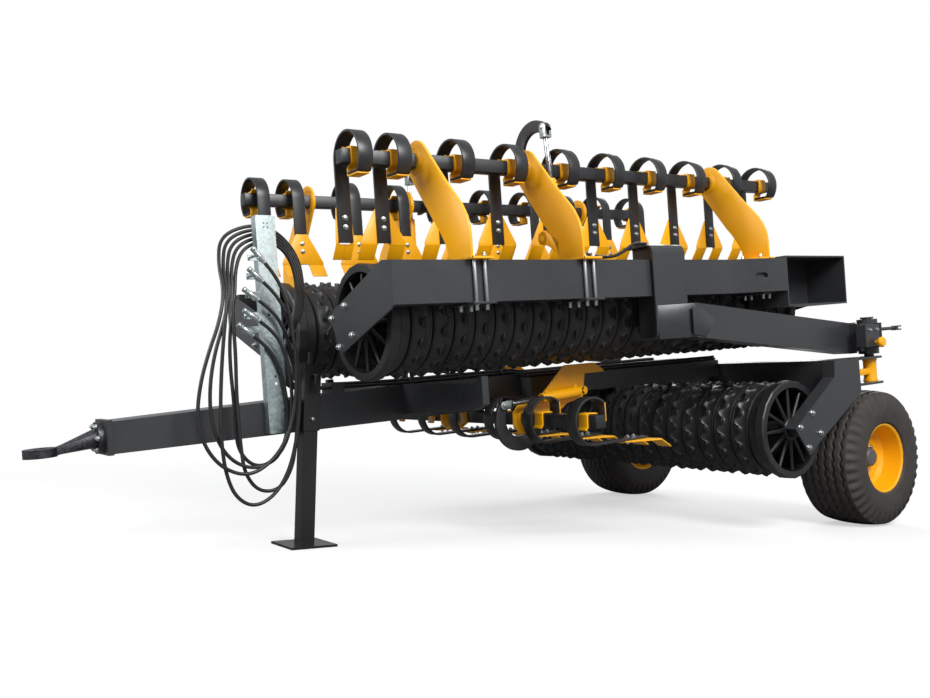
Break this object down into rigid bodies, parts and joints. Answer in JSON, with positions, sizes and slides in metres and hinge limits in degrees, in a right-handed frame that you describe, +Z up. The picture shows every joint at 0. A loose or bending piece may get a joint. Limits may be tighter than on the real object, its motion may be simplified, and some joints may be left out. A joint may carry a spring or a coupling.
{
  "type": "towed land roller with folding wings",
  "caption": "Towed ring roller with a centre section and two wings folded forwards over the drawbar, sprung tine bars, transport wheels and a parking jack.",
  "frame": {"origin": "on the floor below the middle of the transport axle", "axes": "+X forwards along the drawbar, +Y to the machine's left, +Z up"},
  "size_m": [5.2847, 2.536, 2.3699],
  "materials": {
    "charcoal_paint": "gloss coat",
    "black_paint": "semi-gloss coat",
    "ring_iron": "dipped black",
    "yellow_paint": "gloss coat",
    "spring_steel": "black coat on spring steel",
    "chrome_rod": "hard chrome",
    "zinc": "galvanized",
    "tyre_rubber": "moulded tread",
    "grey_steel": "grey primer",
    "hose_rubber": "hydraulic hose cover"
  },
  "bodies": {
    "frame": {"centre_beam": "charcoal_paint", "centre_bearings": "black_paint", "fold_hinges": "charcoal_paint", "frame_legs": "charcoal_paint", "drawbar": "charcoal_paint", "tow_eye": "black_paint", "hose_holder": "zinc", "hose_1": "hose_rubber", "hose_2": "hose_rubber", "hose_3": "hose_rubber", "hose_4": "hose_rubber", "hose_5": "hose_rubber", "jack_sleeve": "black_paint", "wheel_rockers": "charcoal_paint", "centre_bar_arms": "yellow_paint"},
    "jack_leg": {"jack_leg": "black_paint"},
    "centre_roller": {"centre_rings": "ring_iron", "centre_roller_tube": "black_paint"},
    "tine_bar_centre": {"centre_tine_bar": "spring_steel", "centre_paddles": "yellow_paint"},
    "ram_barrel_centre": {"centre_ram_barrel": "yellow_paint"},
    "ram_rod_centre": {"centre_ram_rod": "chrome_rod"},
    "wheel_left": {"tyre_left": "tyre_rubber", "rim_left": "yellow_paint", "hub_left": "grey_steel"},
    "wing_left": {"wing_beam_left": "charcoal_paint", "wing_bearings_left": "black_paint", "wing_carrier_left": "charcoal_paint", "wing_bar_arms_left": "yellow_paint"},
    "wing_roller_left": {"wing_rings_left": "ring_iron", "wing_roller_tube_left": "black_paint"},
    "tine_bar_left": {"wing_tine_bar_left": "spring_steel", "wing_paddles_left": "yellow_paint"},
    "ram_barrel_left": {"wing_ram_barrel_left": "yellow_paint"},
    "ram_rod_left": {"wing_ram_rod_left": "chrome_rod"},
    "wheel_right": {"tyre_right": "tyre_rubber", "rim_right": "yellow_paint", "hub_right": "grey_steel"},
    "wing_right": {"wing_beam_right": "charcoal_paint", "wing_bearings_right": "black_paint", "wing_carrier_right": "charcoal_paint", "wing_bar_arms_right": "yellow_paint"},
    "wing_roller_right": {"wing_rings_right": "ring_iron", "wing_roller_tube_right": "black_paint"},
    "tine_bar_right": {"wing_tine_bar_right": "spring_steel", "wing_paddles_right": "yellow_paint"},
    "ram_barrel_right": {"wing_ram_barrel_right": "yellow_paint"},
    "ram_rod_right": {"wing_ram_rod_right": "chrome_rod"}
  },
  "joints": [
    {"name": "centre_roller_turn", "type": "hinge", "parent": "frame", "child": "centre_roller", "pos_m": [0.84944, 0, 0.61731], "axis": [0, 1, 0], "continuous": true},
    {"name": "jack_leg_slide", "type": "slide", "parent": "frame", "child": "jack_leg", "axis": [0, 0, 1], "range_m": [0, 0.22]},
    {"name": "wheel_left_turn", "type": "hinge", "parent": "frame", "child": "wheel_left", "pos_m": [0, 1.045, 0.437], "axis": [0, 1, 0], "continuous": true},
    {"name": "wing_left_fold", "type": "hinge", "parent": "frame", "child": "wing_left", "pos_m": [0.10229, 1.172, 1.19338], "axis": [0.108, 0, 0.9942], "range_deg": [0, 90]},
    {"name": "wing_roller_left_turn", "type": "hinge", "parent": "wing_left", "child": "wing_roller_left", "pos_m": [1.87702, 0.498, 1.28927], "axis": [0.9942, 0, -0.108], "continuous": true},
    {"name": "tine_bar_left_turn", "type": "hinge", "parent": "wing_left", "child": "tine_bar_left", "pos_m": [1.9883, 0.599, 2.07283], "axis": [-0.9942, 0, 0.108], "range_deg": [0, 70]},
    {"name": "ram_left_swing", "type": "hinge", "parent": "wing_left", "child": "ram_barrel_left", "pos_m": [2.38339, 0.73, 1.63561], "axis": [-0.9942, 0, 0.108], "range_deg": [0, 19.13]},
    {"name": "ram_left_stroke", "type": "slide", "parent": "ram_barrel_left", "child": "ram_rod_left", "axis": [0.1078, -0.0573, 0.9925], "range_m": [-0.2199, 0]},
    {"name": "wheel_right_turn", "type": "hinge", "parent": "frame", "child": "wheel_right", "pos_m": [0, -1.045, 0.437], "axis": [0, 1, 0], "continuous": true},
    {"name": "wing_right_fold", "type": "hinge", "parent": "frame", "child": "wing_right", "pos_m": [0.10229, -1.172, 1.19338], "axis": [-0.108, 0, -0.9942], "range_deg": [0, 90]},
    {"name": "wing_roller_right_turn", "type": "hinge", "parent": "wing_right", "child": "wing_roller_right", "pos_m": [1.87702, -0.498, 1.28927], "axis": [0.9942, 0, -0.108], "continuous": true},
    {"name": "tine_bar_right_turn", "type": "hinge", "parent": "wing_right", "child": "tine_bar_right", "pos_m": [1.9883, -0.599, 2.07283], "axis": [0.9942, 0, -0.108], "range_deg": [0, 70]},
    {"name": "ram_right_swing", "type": "hinge", "parent": "wing_right", "child": "ram_barrel_right", "pos_m": [2.38339, -0.73, 1.63561], "axis": [0.9942, 0, -0.108], "range_deg": [0, 19.13]},
    {"name": "ram_right_stroke", "type": "slide", "parent": "ram_barrel_right", "child": "ram_rod_right", "axis": [0.1078, 0.0573, 0.9925], "range_m": [-0.2199, 0]},
    {"name": "tine_bar_centre_turn", "type": "hinge", "parent": "frame", "child": "tine_bar_centre", "pos_m": [2.28674, 0, 0.6533], "axis": [0, -1, 0], "range_deg": [0, 70]},
    {"name": "ram_centre_swing", "type": "hinge", "parent": "frame", "child": "ram_barrel_centre", "pos_m": [1.91118, 0.445, 0.82587], "axis": [0, -1, 0], "range_deg": [0, 19.13]},
    {"name": "ram_centre_stroke", "type": "slide", "parent": "ram_barrel_centre", "child": "ram_rod_centre", "axis": [0.9863, 0, -0.1648], "range_m": [-0.2199, 0]}
  ],
  "couplings": [
    {"joint": "ram_left_swing", "follows": "tine_bar_left_turn", "ratio": 0.273},
    {"joint": "ram_left_stroke", "follows": "tine_bar_left_turn", "m_per_rad": -0.17991},
    {"joint": "ram_right_swing", "follows": "tine_bar_right_turn", "ratio": 0.273},
    {"joint": "ram_right_stroke", "follows": "tine_bar_right_turn", "m_per_rad": -0.17991},
    {"joint": "ram_centre_swing", "follows": "tine_bar_centre_turn", "ratio": 0.273},
    {"joint": "ram_centre_stroke", "follows": "tine_bar_centre_turn", "m_per_rad": -0.17991}
  ]
}
